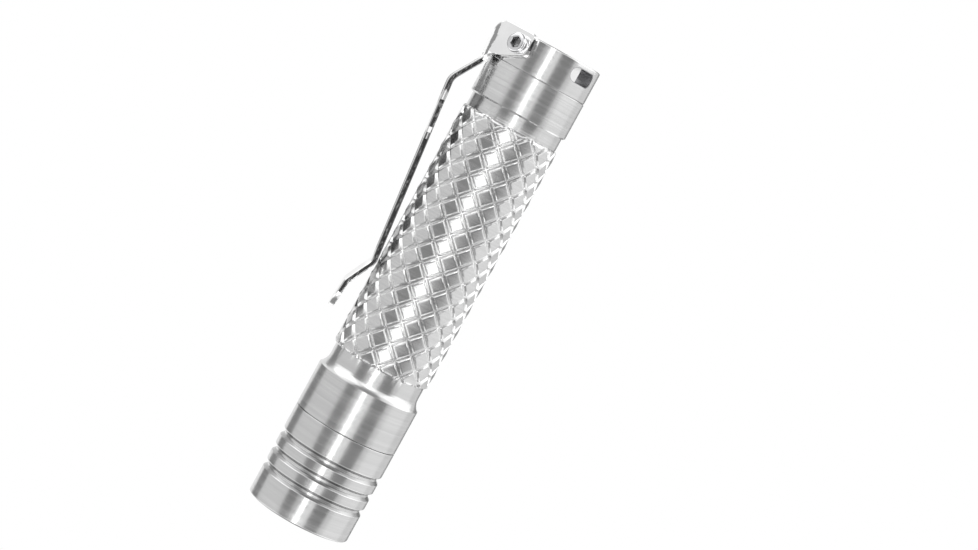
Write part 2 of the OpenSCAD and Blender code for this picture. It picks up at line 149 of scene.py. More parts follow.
def bump(height, distance, strength=1.0):
    return height.node("ShaderNodeBump", {}, Height=height, Distance=distance, Strength=strength)


def piece(name, vertices, faces, material, smooth=True):
    """A mesh object at the origin, its doubles merged and its faces pointing outwards."""
    mesh = bpy.data.meshes.new(name)
    mesh.from_pydata([tuple(v) for v in vertices], [], faces)
    made = bpy.data.objects.new(name, mesh)
    bpy.context.collection.objects.link(made)
    return finish_mesh(made, material, smooth)


def finish_mesh(made, material, smooth=True, merge=1e-7):
    """Clean faces and shading; with no material given, the mesh keeps the ones it has."""
    work = bmesh.new()
    work.from_mesh(made.data)
    bmesh.ops.remove_doubles(work, verts=work.verts, dist=merge)
    bmesh.ops.dissolve_degenerate(work, edges=work.edges, dist=merge)
    bmesh.ops.recalc_face_normals(work, faces=work.faces)
    for face in work.faces:
        face.smooth = smooth
    work.to_mesh(made.data)
    work.free()
    if material:
        made.data.materials.clear()
        made.data.materials.append(material)
    if smooth:
        made.data.set_sharp_from_angle(angle=math.radians(32))
    return made


def lathe(profile, sides=160):
    """Vertices and faces of a turned shape; a closed profile of (radius, z) in millimetres."""
    vertices = []
    for r, z in profile:
        for i in range(sides):
            a = 2 * math.pi * i / sides
            vertices.append((r * math.cos(a) * mm, r * math.sin(a) * mm, z * mm))
    faces, rows = [], len(profile)
    for j in range(rows):
        k = (j + 1) % rows
        if profile[j][0] < 1e-6 and profile[k][0] < 1e-6:
            continue
        for i in range(sides):
            n = (i + 1) % sides
            faces.append((j * sides + i, j * sides + n, k * sides + n, k * sides + i))
    return vertices, faces


def round_corner(before, corner, after, radius, steps=5):
    """Points of a rounded corner of a profile."""
    c = Vector(corner)
    a, b = (Vector(before) - c).normalized(), (Vector(after) - c).normalized()
    half = math.acos(max(-1, min(1, a.dot(b)))) / 2
    reach = radius / math.tan(half)
    centre = c + (a + b).normalized() * radius / math.sin(half)
    start, end = c + a * reach - centre, c + b * reach - centre
    turn = start.angle_signed(end)
    return [tuple(centre + Matrix.Rotation(-turn * i / steps, 2) @ start) for i in range(steps + 1)]


def rounded(points, radii, steps=4):
    """A closed profile with its corners rounded; radii maps a corner's number to its radius."""
    outline = []
    for i, point in enumerate(points):
        if i in radii:
            outline += round_corner(points[i - 1], point, points[(i + 1) % len(points)], radii[i], steps)
        else:
            outline.append(point)
    return outline


tube_low, tube_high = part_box("body_tube")
head_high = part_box("head_shell")[1]
cap_low, cap_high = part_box("tail_cap")
band_r = head_high.x / mm
seam = head_high.z / mm + 0.02
tube_front, tube_back = tube_low.z / mm, tube_high.z / mm
stud_r = band_r - 0.85
bore_r = stud_r - 0.7
barrel_r = bore_r + 1.225
neck_r = barrel_r - 0.4
tail_bore_r = bore_r + 0.4
tail_r = tail_bore_r + 0.85
flare_start = seam + 6.0
flare_long = 1.5
neck_start = flare_start + flare_long
barrel_start = neck_start + 1.6
tail_start = tube_back - 5.1
barrel_end = tail_start - 1.8
board_seat = tube_back - 4.32
pitch = 0.75

# Lathe marks: fine rings of changing depth that run round the axis, a little streaky. A piece's own
# function paints shade or highlight into the steel's colour at a place, given in millimetres.


def turned_steel(name, tint=(0.69, 0.69, 0.69), roughness=0.2, marks=1.0, painted_light=lambda x, y, r, z: 1.0):
    material, shader, place = new_material(name, tint, 1.0, roughness)
    x, y, z = place.parts()
    r = (x * x + y * y).math("SQRT")
    ringed = place.node("ShaderNodeCombineXYZ", {}, X=r, Y=z, Z=0.0)
    fine = noise(ringed, 4500.0, 4.0)
    broad = noise(ringed, 1500.0, 3.0)
    streak = noise(place, 260.0, 3.0, (1, 1, 14))
    grain = fine * 0.6 + broad * 0.4
    cloud = noise(place, 90.0, 4.0)
    brushed = (grain * 0.7 + cloud * 0.3).step(0.3, 0.7) * 0.14 + 0.86
    # Base colour: the brushed grain times the piece's painted shade and highlight.
    connect(shader,
            Base_Color=(brushed * painted_light(x / mm, y / mm, r / mm, z / mm)).mix((0, 0, 0, 1), (*tint, 1)),
            Roughness=roughness + (streak - 0.5) * 0.12 + (broad - 0.5) * 0.2,
            Normal=bump(grain, 0.00003 * marks, 0.6))
    return material


def tube_painted_highlight(x, y, r, z):
    """Painted highlight: brighter colour where the knurling tool has cut below the barrel's crests."""
    on_barrel = z.step(barrel_start, barrel_start + 0.1) * (1 - z.step(barrel_end - 0.1, barrel_end))
    return 0.79 + (r * -1 + barrel_r).step(0.11, 0.16) * on_barrel * 0.1


tube_steel = turned_steel("turned steel, tube", (0.87, 0.87, 0.87), 0.22, painted_light=tube_painted_highlight)

# The knurl is cut by two crossing sets of helical grooves, 13 of each hand. One diamond lies
# between four grooves: a flat patch in groove counts (u, v), with the groove's depth as height.
# Geometry Nodes set the patch on every crossing and wrap the sheet round the barrel.

starts = 13
knurl_pitch = 3.08
knurl_depth = 0.36
groove_top = 0.135
groove_bottom = 0.018
crest_lip = 0.022
run_out = 0.3
knurl_row = barrel_start + 2.05
knurl_turn = math.radians(1.8)
facet_flat = 0.75

half_steps = [0, groove_bottom, groove_top * 0.55, groove_top, groove_top + crest_lip, 0.24, 0.37, 0.5]
steps = half_steps + [1 - s for s in reversed(half_steps[:-1])]


def groove_depth_at(t):
    """Depth below the crest at t of the way from one groove's middle to the next, 0 to 1."""
    near = min(t, 1 - t)
    if near <= groove_bottom:
        return 1.0
    if near >= groove_top + crest_lip:
        return 0.0
    if near >= groove_top:
        return 0.05 * (1 - (near - groove_top) / crest_lip)
    return 0.05 + 0.95 * (groove_top - near) / (groove_top - groove_bottom)


patch_mesh = bpy.data.meshes.new("diamond")
patch_mesh.from_pydata(
    [(u, v, max(groove_depth_at(u), groove_depth_at(v))) for u in steps for v in steps], [],
    [(i * len(steps) + j, (i + 1) * len(steps) + j, (i + 1) * len(steps) + j + 1, i * len(steps) + j + 1)
     for i in range(len(steps) - 1) for j in range(len(steps) - 1)])
patch = bpy.data.objects.new("diamond", patch_mesh)
bpy.context.collection.objects.link(patch)


def tree_with_inputs(name, *inputs):
    """A Geometry Nodes tree with named number inputs, its start and its output socket."""
    tree = bpy.data.node_groups.new(name, "GeometryNodeTree")
    tree.interface.new_socket("Geometry", in_out="INPUT", socket_type="NodeSocketGeometry")
    for label in inputs:
        tree.interface.new_socket(label, in_out="INPUT", socket_type="NodeSocketFloat")
    tree.interface.new_socket("Geometry", in_out="OUTPUT", socket_type="NodeSocketGeometry")
    entry, output = tree.nodes.new("NodeGroupInput"), tree.nodes.new("NodeGroupOutput")
    return tree, [Value(tree, s) for s in entry.outputs[:1 + len(inputs)]], output.inputs[0]


def grown(name, seed, tree, values, material):
    """The plain mesh that a tree makes from a seed mesh, with its inputs set by identifier."""
    holder = bpy.data.objects.new(name, seed)
    bpy.context.collection.objects.link(holder)
    modifier = holder.modifiers.new("grow", "NODES")
    sockets = [s for s in tree.interface.items_tree if s.in_out == "INPUT"][1:]
    modifier.node_group = tree
    for socket, value in zip(sockets, values):
        modifier[socket.identifier] = float(value)
    graph = bpy.context.evaluated_depsgraph_get()
    graph.update()
    mesh = bpy.data.meshes.new_from_object(holder.evaluated_get(graph))
    holder.modifiers.remove(modifier)
    holder.data = mesh
    mesh.name = name
    return finish_mesh(holder, material, True, 2e-6)


tree, knurl_inputs, out = tree_with_inputs(
    "knurl", "Starts", "Crest radius", "Groove depth", "Axial pitch", "From", "To", "Run out",
    "Neck radius", "Middle row", "Turn", "Flatness")
field, n_starts, radius, depth, axial_pitch, z_from, z_to, fade, neck, z_row, turned, flat = knurl_inputs
copies = field.node("GeometryNodeInstanceOnPoints", {}, Points=field,
                    Instance=field.node("GeometryNodeObjectInfo", {}, out="Geometry", Object=patch))
sheet = field.node("GeometryNodeRealizeInstances", {}, Geometry=copies)
spot = field.node("GeometryNodeInputPosition")
u, v, cut = spot.parts()
angle = (u + v - 1) * math.pi / n_starts - math.pi / 2 + turned
off_middle = (u.math("FRACT") + v.math("FRACT") - 1) * math.pi / n_starts
corner = math.pi / n_starts * (1 - 2 * groove_top)
facet = (corner.math("COSINE") / off_middle.math("COSINE") - 1) * flat * (1 - cut)
height = (u - v) * 0.5 * axial_pitch + z_row
edge_near = (height - z_from).math("MINIMUM", z_to - height)
rise = (edge_near / fade).clamp()
shoulder = (1 - (1 - rise) * (1 - rise)).math("SQRT")
crest = neck + (radius - neck) * shoulder
r = (crest * (facet + 1) - depth * cut).math("MAXIMUM", neck + 0.00001)
wrapped = field.node("ShaderNodeCombineXYZ", {}, X=r * angle.math("COSINE"),
                     Y=r * angle.math("SINE"), Z=height)
sheet = field.node("GeometryNodeSetPosition", {}, Geometry=sheet, Position=wrapped)
sheet = field.node("GeometryNodeSetMaterial", {}, Geometry=sheet, Material=tube_steel)
tree.links.new(sheet.socket, out)

rows = int(2 * (barrel_end - barrel_start) / knurl_pitch) + 4
crossings = []
for w in range(-4, rows):
    for s in range(w % 2, 2 * starts, 2):
        crossings.append(((s + w) / 2, (s - w) / 2))
seed_mesh = bpy.data.meshes.new("crossings")
seed_mesh.from_pydata([(a, b, 0) for a, b in crossings], [], [])
barrel = grown("barrel", seed_mesh, tree,
               (starts, barrel_r * mm, knurl_depth * mm, knurl_pitch * mm, barrel_start * mm,
                barrel_end * mm, run_out * mm, neck_r * mm, knurl_row * mm, knurl_turn, facet_flat),
               tube_steel)
bpy.data.objects.remove(patch)


def trimmed_at(made, low, high):
    """Cuts a tube-like mesh square at two heights."""
    work = bmesh.new()
    work.from_mesh(made.data)
    for z, inner in ((low, False), (high, True)):
        bmesh.ops.bisect_plane(work, geom=work.verts[:] + work.edges[:] + work.faces[:],
                               plane_co=(0, 0, z * mm), plane_no=(0, 0, 1),
                               clear_inner=not inner, clear_outer=inner)
    work.to_mesh(made.data)
    work.free()


trimmed_at(barrel, barrel_start, barrel_end)


def thread_profile(r, z0, z1, inward=-1, deep=0.34):
    """The flank line of a thread as rings, from z0 to z1, at crest radius r."""
    points, z = [], z0
    while z + pitch <= z1 + 1e-6:
        points += [(r + inward * deep, z + 0.05), (r, z + 0.28),
                   (r, z + 0.42), (r + inward * deep, z + 0.68)]
        z += pitch
    return points


flare_drop = band_r - neck_r
flare_r = (flare_long ** 2 + flare_drop ** 2) / (2 * flare_drop)
flare = [(neck_r + flare_r - math.sqrt(flare_r ** 2 - (neck_start - z) ** 2), z)
         for z in (flare_start + flare_long * i / 10 for i in range(11))]
ring_low, ring_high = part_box("head_o_ring")
ring_floor = stud_r + 0.05 - (ring_high.z - ring_low.z) / mm - 0.04
front = ([(bore_r, tube_front), (stud_r - 0.3, tube_front), (stud_r - 0.3, tube_front + 0.3)]
         + thread_profile(stud_r, tube_front + 0.35, ring_low.z / mm - 0.2)
         + [(stud_r, ring_low.z / mm - 0.15), (stud_r, ring_low.z / mm - 0.07),
            (ring_floor, ring_low.z / mm - 0.07), (ring_floor, ring_high.z / mm + 0.07),
            (stud_r, ring_high.z / mm + 0.07), (stud_r, seam)]
         + [(band_r - 0.07, seam), (band_r, seam + 0.07), (band_r, flare_start - 0.03)]
         + flare + [(neck_r, barrel_start - 0.02)])
rear = ([(neck_r, barrel_end + 0.02), (neck_r + 0.05, barrel_end + 0.1), (neck_r + 0.05, tail_start - 0.02),
         (tail_r - 0.2, tail_start), (tail_r, tail_start + 0.2), (tail_r, tube_back - 0.1),
         (tail_r - 0.1, tube_back), (tail_bore_r, tube_back)]
        + thread_profile(tail_bore_r, board_seat + 0.9, tube_back - 0.9, 1, 0.28)[::-1]
        + [(tail_bore_r, board_seat), (bore_r, board_seat)])


def tube_mesh():
    """Front and rear turned ends, the knurled sleeve between them and the bore, in one mesh."""
    work = bmesh.new()
    work.from_mesh(barrel.data)
    rims = [e for e in work.edges if e.is_boundary]
    low_rim = [e for e in rims if e.verts[0].co.z < (barrel_start + barrel_end) / 2 * mm]
    high_rim = [e for e in rims if e not in low_rim]
    sides = 160

    def add(profile):
        rings = []
        for r, z in profile:
            rings.append([work.verts.new((r * math.cos(a) * mm, r * math.sin(a) * mm, z * mm))
                          for a in (2 * math.pi * i / sides for i in range(sides))])
        for a, b in zip(rings, rings[1:]):
            for i in range(sides):
                work.faces.new((a[i], a[(i + 1) % sides], b[(i + 1) % sides], b[i]))
        return rings

    def rim(ring):
        return [work.edges.get((ring[i], ring[(i + 1) % sides])) for i in range(sides)]

    front_rings, rear_rings = add(front), add(rear)
    bmesh.ops.bridge_loops(work, edges=low_rim + rim(front_rings[-1]))
    bmesh.ops.bridge_loops(work, edges=high_rim + rim(rear_rings[0]))
    a, b = rear_rings[-1], front_rings[0]
    for i in range(sides):
        work.faces.new((a[i], a[(i + 1) % sides], b[(i + 1) % sides], b[i]))
    mesh = bpy.data.meshes.new("tube")
    work.to_mesh(mesh)
    work.free()
    return mesh


tube = bpy.data.objects.new("tube_knurled", tube_mesh())
bpy.context.collection.objects.link(tube)
bpy.data.objects.remove(barrel)
finish_mesh(tube, tube_steel)
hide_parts("body_tube")
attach(tube, "tube")

# ---------------------------------------------------------------------------------------------
# The head. A turned steel cap with a plain bezel and three grip grooves; it screws on the
# tube's front stud. Turning it presses the driver on the cell, which switches the light on.
# ---------------------------------------------------------------------------------------------

groove_first, groove_pitch, groove_deep, groove_floor = 4.24, 2.275, 0.42, 0.26
lens_seat_r, thread_bore_r, lip_r = band_r - 1.2, stud_r + 0.05, band_r - 2.25
driver_back = 8.1

outline = [(band_r, 0)]
corners = {0: 0.25}
for i in range(3):
    middle = groove_first + i * groove_pitch
    first = len(outline)
    outline += [(band_r, middle - groove_floor / 2 - groove_deep),
                (band_r - groove_deep, middle - groove_floor / 2),
                (band_r - groove_deep, middle + groove_floor / 2),
                (band_r, middle + groove_floor / 2 + groove_deep)]
    corners.update({first: 0.16, first + 1: 0.08, first + 2: 0.08, first + 3: 0.16})
corners[len(outline)] = 0.07
outline += ([(band_r, seam - 0.06), (thread_bore_r, seam - 0.06), (thread_bore_r, seam - 1.2)]
            + thread_profile(thread_bore_r - 0.35, driver_back + 0.2, seam - 1.2, 1, 0.33)[::-1]
            + [(thread_bore_r, driver_back), (lens_seat_r, driver_back), (lens_seat_r, 0.7), (lip_r, 0.7)])
corners[len(outline)] = 0.12
outline += [(lip_r + 0.7, 0.0)]
vertices, faces = lathe(rounded(outline, corners), 192)


def head_painted_shade(x, y, r, z):
    """Painted shade on the grooves' walls that look to the tail and on the bezel's front edge."""
    sunk = (r * -1 + band_r).step(0.01, 0.06) * z.step(2.0, 2.5)
    along = (z - groove_first).math("WRAP", groove_pitch / 2, -groove_pitch / 2)
    wall = along.step(-0.62, -0.52) * (1 - along.step(-0.16, -0.08))
    return (1 - sunk * wall * 0.42) * (z.step(0.02, 0.2) * 0.6 + 0.4)


head_steel = turned_steel("turned steel, head", painted_light=head_painted_shade)
head = piece("head_turned", vertices, faces, head_steel)
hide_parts("head_shell")
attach(head, "head")

# ---------------------------------------------------------------------------------------------
# The light engine, from the front: lens and its O-ring, reflector, emitter with its gasket and
# board, heat sink, driver with its components, contact, foam ring and the brass clamping ring.
# ---------------------------------------------------------------------------------------------


def dress(material, *names):
    """Gives CAD nodes whose shape is right their finish."""
    for name in names:
        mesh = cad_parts[name].data
        mesh.materials.clear()
        mesh.materials.append(material)


def speckled(name, dark, light, metallic, roughness, scale, relief, **settings):
    """A finish with fine grain in colour, gloss and relief."""
    material, shader, place = new_material(name, light, metallic, roughness, **settings)
    grain, cloud = noise(place, scale, 4.0), noise(place, scale / 12, 3.0)
    connect(shader,
            Base_Color=(grain * 0.6 + cloud * 0.4).step(0.3, 0.7).mix((*dark, 1), (*light, 1)),
            Roughness=roughness + (cloud - 0.5) * 0.2 + (grain - 0.5) * 0.1,
            Normal=bump(grain, relief * mm, 0.4))
    return material


glass, shader, place = new_material("coated lens", (0.93, 0.97, 1.0), 0.0, 0.02, IOR=1.5, Alpha=1.0,
                                    Transmission_Weight=1.0, Coat_Weight=0.6, Coat_Roughness=0.03)
film = noise(place, 150.0, 2.0)
connect(shader, Roughness=0.015 + film * 0.03)
dress(glass, "lens")

mirror, shader, place = new_material("orange-peel reflector", (0.92, 0.92, 0.93), 1.0, 0.08)
peel = place.node("ShaderNodeTexVoronoi", {"feature": "SMOOTH_F1"}, Vector=place, Scale=2600.0)
haze = noise(place, 400.0, 3.0)
connect(shader, Normal=bump(peel, 0.00003, 0.5), Roughness=0.06 + haze * 0.08,
        Base_Color=haze.step(0.2, 0.9).mix((0.86, 0.86, 0.87, 1), (0.94, 0.94, 0.95, 1)))
dress(mirror, "reflector")

rubber = speckled("black rubber", (0.012, 0.012, 0.013), (0.03, 0.03, 0.031), 0.0, 0.55, 4000, 0.01)
dress(rubber, "lens_o_ring", "head_o_ring", "tail_o_ring")
dress(speckled("grey foam", (0.03, 0.03, 0.03), (0.09, 0.09, 0.092), 0.0, 0.95, 6000, 0.06), "contact_foam")
white_plastic = speckled("white nylon", (0.76, 0.75, 0.72), (0.86, 0.85, 0.82), 0.0, 0.45, 2500, 0.006)
dress(white_plastic, "led_gasket", "cell_seal")
dress(speckled("brown ceramic", (0.36, 0.27, 0.18), (0.48, 0.37, 0.25), 0.0, 0.4, 5000, 0.004),
      "driver_capacitors")
dress(speckled("moulded epoxy", (0.015, 0.015, 0.016), (0.035, 0.035, 0.037), 0.0, 0.5, 7000, 0.006),
      "driver_ic", "driver_diode", "driver_resistors")
dress(speckled("ferrite", (0.05, 0.05, 0.052), (0.11, 0.11, 0.112), 0.2, 0.6, 5200, 0.012),
      "driver_inductor")
dress(speckled("red insulation", (0.45, 0.02, 0.015), (0.62, 0.03, 0.02), 0.0, 0.35, 3000, 0.003),
      "led_wire_positive")
dress(speckled("black insulation", (0.01, 0.01, 0.01), (0.03, 0.03, 0.03), 0.0, 0.35, 3000, 0.003),
      "led_wire_negative")

phosphor, shader, place = new_material("phosphor", (0.85, 0.72, 0.12), 0.0, 0.55)
grain = noise(place, 9000.0, 2.0)
x, y, z = place.parts()
side = x.math("ABSOLUTE").math("MAXIMUM", y.math("ABSOLUTE"))
die = 1 - side.step(0.8 * mm, 0.86 * mm)
connect(shader, Base_Color=die.mix((0.78, 0.78, 0.75, 1), (0.80, 0.66, 0.08, 1)),
        Normal=bump(grain, 0.00001, 0.4), Roughness=0.45 + grain * 0.2)
dress(phosphor, "led_emitter")
silicone, shader, place = new_material("silicone dome", (1.0, 0.99, 0.94), 0.0, 0.05, IOR=1.41,
                                       Transmission_Weight=1.0)
connect(shader, Roughness=0.03 + noise(place, 900.0) * 0.05)
dress(silicone, "led_dome")


def circuit(name, centre_free):
    """Green solder mask over copper: the tracks show as raised, lighter lines."""
    material, shader, place = new_material(name, (0.02, 0.12, 0.06), 0.0, 0.35, Coat_Weight=0.4)
    bent = place.node("ShaderNodeMapping", {}, Vector=place, Rotation=(0, 0, 0.785))
    cells = bent.node("ShaderNodeTexBrick", {"offset": 0.37}, Vector=bent, Scale=560.0,
                      Mortar_Size=0.06, out=1)
    x, y, z = place.parts()
    r = (x * x + y * y).math("SQRT")
    pad_end, edge = centre_free + 0.9, 0.04
    pad = (r.step(centre_free * mm, (centre_free + edge) * mm)
           * (1 - r.step(pad_end * mm, (pad_end + edge) * mm)))
    green = cells.mix((0.012, 0.10, 0.05, 1), (0.03, 0.19, 0.10, 1))
    tinned = pad.node("ShaderNodeMix", {"data_type": "RGBA"}, out=2, i0=pad, i6=green,
                      i7=(0.72, 0.70, 0.64, 1))
    connect(shader, Base_Color=tinned, Metallic=pad, Roughness=0.4 - pad * 0.1 + noise(place, 3000.0) * 0.1,
            Normal=bump(cells + pad, 0.00003, 0.5))
    return material


dress(circuit("driver's board", 4.4), "driver_board")
dress(circuit("emitter's board", 2.6), "led_board")
dress(circuit("tail board", 3.2), "tail_contact_board")
brass = turned_steel("turned brass", (0.83, 0.66, 0.33), 0.25, 1.4)
dress(brass, "heat_sink", "positive_contact", "driver_retaining_ring", "tail_retaining_ring")

# ---------------------------------------------------------------------------------------------
# The cell. A nickel-plated steel can in a printed sleeve; it is pushed forward by the tail
# spring and follows the head as that is unscrewed.
# ---------------------------------------------------------------------------------------------

nickel = turned_steel("nickel plate", (0.76, 0.74, 0.70), 0.18, 0.4)
dress(nickel, "cell_can", "cell_end_plate")
sleeve, shader, place = new_material("printed sleeve", (0.03, 0.05, 0.10), 0.0, 0.3, Coat_Weight=0.5)
height = place.parts()[2]
band = height.step(42.0 * mm, 42.1 * mm) * (1 - height.step(50.0 * mm, 50.1 * mm))
line = height.step(40.9 * mm, 41.0 * mm) * (1 - height.step(41.4 * mm, 41.5 * mm))
scuffs = noise(place, 700.0, 4.0)
connect(shader, Base_Color=(band + line).clamp().mix((0.025, 0.04, 0.09, 1), (0.75, 0.46, 0.12, 1)),
        Roughness=0.25 + scuffs * 0.2, Normal=bump(scuffs, 0.00001, 0.3))
dress(sleeve, "cell_wrapper")

# ---------------------------------------------------------------------------------------------
# The tail spring. Hard steel wire wound to a cone, its wide end soldered to the tail board. The
# narrow end presses on the cell, so the coil is let out or squeezed as the cell moves.
# ---------------------------------------------------------------------------------------------

spring_low, spring_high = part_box("tail_spring")
wire, turns, taper = 0.5, 6.0, 1.75
tree, (seed, n_turns, wide, narrow, long, thick, base), out = tree_with_inputs(
    "wound spring", "Turns", "Wide radius", "Narrow radius", "Length", "Wire", "Base")
coil = seed.node("GeometryNodeCurveSpiral", {}, Resolution=28, Rotations=n_turns, Start_Radius=narrow,
                 End_Radius=wide, Height=long)
section = seed.node("GeometryNodeCurvePrimitiveCircle", {"mode": "RADIUS"}, Resolution=10,
                    Radius=thick * 0.5)
swept = coil.node("GeometryNodeCurveToMesh", {}, Curve=coil, Profile_Curve=section, Fill_Caps=True)
raised = base.node("ShaderNodeCombineXYZ", {}, X=0.0, Y=0.0, Z=base)
placed = swept.node("GeometryNodeSetPosition", {}, Geometry=swept, Offset=raised)
whole = placed.node("GeometryNodeRealizeInstances", {}, Geometry=placed)
spring_steel = turned_steel("spring wire", (0.70, 0.70, 0.70), 0.2, 0.3)
whole = whole.node("GeometryNodeSetMaterial", {}, Geometry=whole, Material=spring_steel)
tree.links.new(whole.socket, out)
spring = grown("spring_coil", bpy.data.meshes.new("spring seed"), tree,
               (turns, spring_high.x - wire / 2 * mm, spring_high.x - taper * mm,
                spring_high.z - spring_low.z - wire * mm, wire * mm, spring_low.z + wire / 2 * mm),
               spring_steel)
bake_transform(spring)
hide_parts("tail_spring")

# ---------------------------------------------------------------------------------------------
# The tail cap. Turned from the same bar as the tube, with a hollow back and two milled slots
# for a split ring or cord; it screws into the tube and carries the pocket clip.
# ---------------------------------------------------------------------------------------------

tail_end, cap_stud_z = cap_high.z / mm, cap_low.z / mm
cap_r, cup_r, cup_deep, cap_z = cap_high.x / mm, 4.3, 3.0, tail_end - 4.38
ring_low, ring_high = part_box("tail_o_ring")
cap_stud_r = tail_bore_r - 0.05
stud_floor_r = cap_stud_r + 0.01 - (ring_high.z - ring_low.z) / mm
outline = ([(0, cap_stud_z), (stud_floor_r, cap_stud_z)]
           + thread_profile(cap_stud_r, cap_stud_z + 0.1, ring_low.z / mm - 0.2, -1, 0.3)
           + [(cap_stud_r, ring_low.z / mm - 0.15), (cap_stud_r, ring_low.z / mm - 0.03),
              (stud_floor_r, ring_low.z / mm - 0.03), (stud_floor_r, ring_high.z / mm + 0.03),
              (cap_stud_r, ring_high.z / mm + 0.03), (cap_stud_r, cap_z)])
corners = {len(outline): 0.1, len(outline) + 1: 0.22, len(outline) + 2: 0.15}
outline += [(cap_r, cap_z), (cap_r, tail_end), (cup_r, tail_end), (cup_r, tail_end - cup_deep),
            (0, tail_end - cup_deep)]
cap_steel = turned_steel("turned steel, tail cap")
vertices, faces = lathe(rounded(outline, corners), 288)
cap = piece("tail_cap_turned", vertices, faces, cap_steel)

# A keyring slot: a run-in with a round end that gets deeper, then a hole into the hollow.
slot_high, slot_low = tail_end - 0.68, tail_end - 2.53
slot_start, slot_break, slot_end = math.radians(116), math.radians(132), math.radians(151)


def slot_outline(start, end, start_r, end_r, grown_by=0.0, steps=10):
    """Outline of a slot on the cap's side as (angle, z), its ends rounded by these radii."""
    points = []
    low, high = slot_low - grown_by, slot_high + grown_by
    start, end = start - grown_by / cap_r, end + grown_by / cap_r
    start_r, end_r = start_r + grown_by, end_r + grown_by
    for angle, z, r, turn in ((start, low, start_r, 180), (end, low, end_r, 270),
                              (end, high, end_r, 0), (start, high, start_r, 90)):
        to_middle = 1 if turn in (180, 270) else -1
        aside = 1 if angle == start else -1
        for i in range(steps + 1):
            a = math.radians(turn + 90 * i / steps)
            points.append((angle + (aside + math.cos(a)) * r / cap_r, z + (to_middle + math.sin(a)) * r))
    return points


def slot_cutter(points, floor, side, material):
    """A closed radial plug with that outline; floor(angle) is the radius it reaches down to."""
    outer = [(cap_r + 0.6, a, z) for a, z in points]
    inner = [(floor(a), a, z) for a, z in points]
    n = len(points)
    vertices = [(side * r * math.sin(a) * mm, -r * math.cos(a) * mm, z * mm) for r, a, z in outer + inner]
    faces = [(i, (i + 1) % n, n + (i + 1) % n, n + i) for i in range(n)]
    rows = n // 2
    for base in (0, n):
        for i in range(rows - 1):
            faces.append(tuple(base + k for k in (i, i + 1, n - 2 - i, n - 1 - i)))
    return piece("cutter", vertices, faces, material, False)


milled, shader, place = new_material("milled steel, run-in", (0.76, 0.76, 0.76), 1.0, 0.42)
connect(shader, Roughness=0.38 + noise(place, 900.0, 3.0) * 0.1)
# The slot's walls and the shallow lip round it are milled steel whose dark colour is painted shade.
slot_wall_painted_shade, shader, place = new_material("milled steel, slot wall, painted shade", (0.36, 0.36, 0.37), 1.0, 0.35)
connect(shader, Roughness=0.45 + noise(place, 900.0, 3.0) * 0.1)
run_in_r, square_r, far_r = 0.9, 0.05, 0.75
run_in_deep, lip_wide, lip_deep = 0.75, 0.07, 0.05
run_in = slot_outline(slot_start, slot_break + 0.02, run_in_r, square_r)
through = slot_outline(slot_break, slot_end, square_r, far_r)
lip = slot_outline(slot_start, slot_end, run_in_r, far_r, lip_wide)
for side in (-1, 1):
    for points, floor, material in (
            (lip, lambda a: cap_r - lip_deep, slot_wall_painted_shade),
            (run_in, lambda a: (cap_r - run_in_deep) / math.cos(slot_break - 0.05 - a), milled),
            (through, lambda a: cup_r - 0.5, slot_wall_painted_shade)):
        cutter = slot_cutter(points, floor, side, material)
        modifier = cap.modifiers.new("cut", "BOOLEAN")
        modifier.object, modifier.operation, modifier.solver = cutter, "DIFFERENCE", "EXACT"
        modifier.material_mode = "TRANSFER"
        graph = bpy.context.evaluated_depsgraph_get()
        graph.update()
        cut_mesh = bpy.data.meshes.new_from_object(cap.evaluated_get(graph))
        cap.modifiers.remove(modifier)
        cap.data = cut_mesh
        bpy.data.objects.remove(cutter)
finish_mesh(cap, None, True, 2e-6)
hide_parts("tail_cap")
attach(cap, "tail")

# ---------------------------------------------------------------------------------------------
# The clip screws. Two small steel screws with a hexagon socket, turned and polished. Each goes
# through one of the clip's ears into the tail cap and holds the ear flat.
# ---------------------------------------------------------------------------------------------

screw_turn, ear_face, screw_height = math.radians(54), 7.42, tail_end - 1.7
head_radius, head_tall, socket_flat, socket_deep, shank_r = 1.3, 1.08, 0.62, 0.75, 0.7
shank_end = -2.2
sides = 48


def hexagon(i, flat):
    """Distance from the axis to a hexagon's side, in the direction of point i of a ring."""
    a = 2 * math.pi * i / sides
    return flat / math.cos((a + math.pi / 6) % (math.pi / 3) - math.pi / 6)


rings = [[(shank_r, shank_end)] * sides, [(shank_r, 0)] * sides]
for r, z in round_corner((0.7, 0.0), (head_radius, 0.0), (head_radius, 1.0), 0.08, 2):
    rings.append([(r, z)] * sides)
rings += [[(head_radius, 0.5)] * sides, [(head_radius, 0.6)] * sides]
for r, z in round_corner((head_radius, 0.0), (head_radius, head_tall), (0.0, head_tall), 0.34, 5):
    rings.append([(r, z)] * sides)
for wider, z in ((0.08, head_tall), (0.0, head_tall - 0.07), (0.0, head_tall - socket_deep)):
    rings.append([(hexagon(i, socket_flat) + wider, z) for i in range(sides)])
rings.append([(0.0, head_tall - socket_deep - 0.2)] * sides)
rings.append([(0.0, shank_end)] * sides)
points, faces = [], []
for ring in rings:
    for i, (r, z) in enumerate(ring):
        a = 2 * math.pi * i / sides
        points.append((r * math.cos(a) * mm, r * math.sin(a) * mm, z * mm))
for j in range(len(rings) - 1):
    low, high = j * sides, (j + 1) * sides
    for i in range(sides):
        n = (i + 1) % sides
        faces.append((low + i, low + n, high + n, high + i))


def socket_painted_shade(x, y, r, z):
    """Painted shade inside the hexagon sockets, told by the distance from each screw's own axis."""
    out = x.math("ABSOLUTE") * math.sin(screw_turn) - y * math.cos(screw_turn)
    aside = x.math("ABSOLUTE") * math.cos(screw_turn) + y * math.sin(screw_turn)
    from_axis = (aside * aside + (z - screw_height) * (z - screw_height)).math("SQRT")
    inside = 1 - from_axis.step(socket_flat + 0.04, socket_flat + 0.12)
    above_ear, rim_height = out.step(ear_face, ear_face + 0.05), ear_face + head_tall
    return 1 - inside * above_ear * (1 - out.step(rim_height - 0.2, rim_height - 0.05)) * 0.7


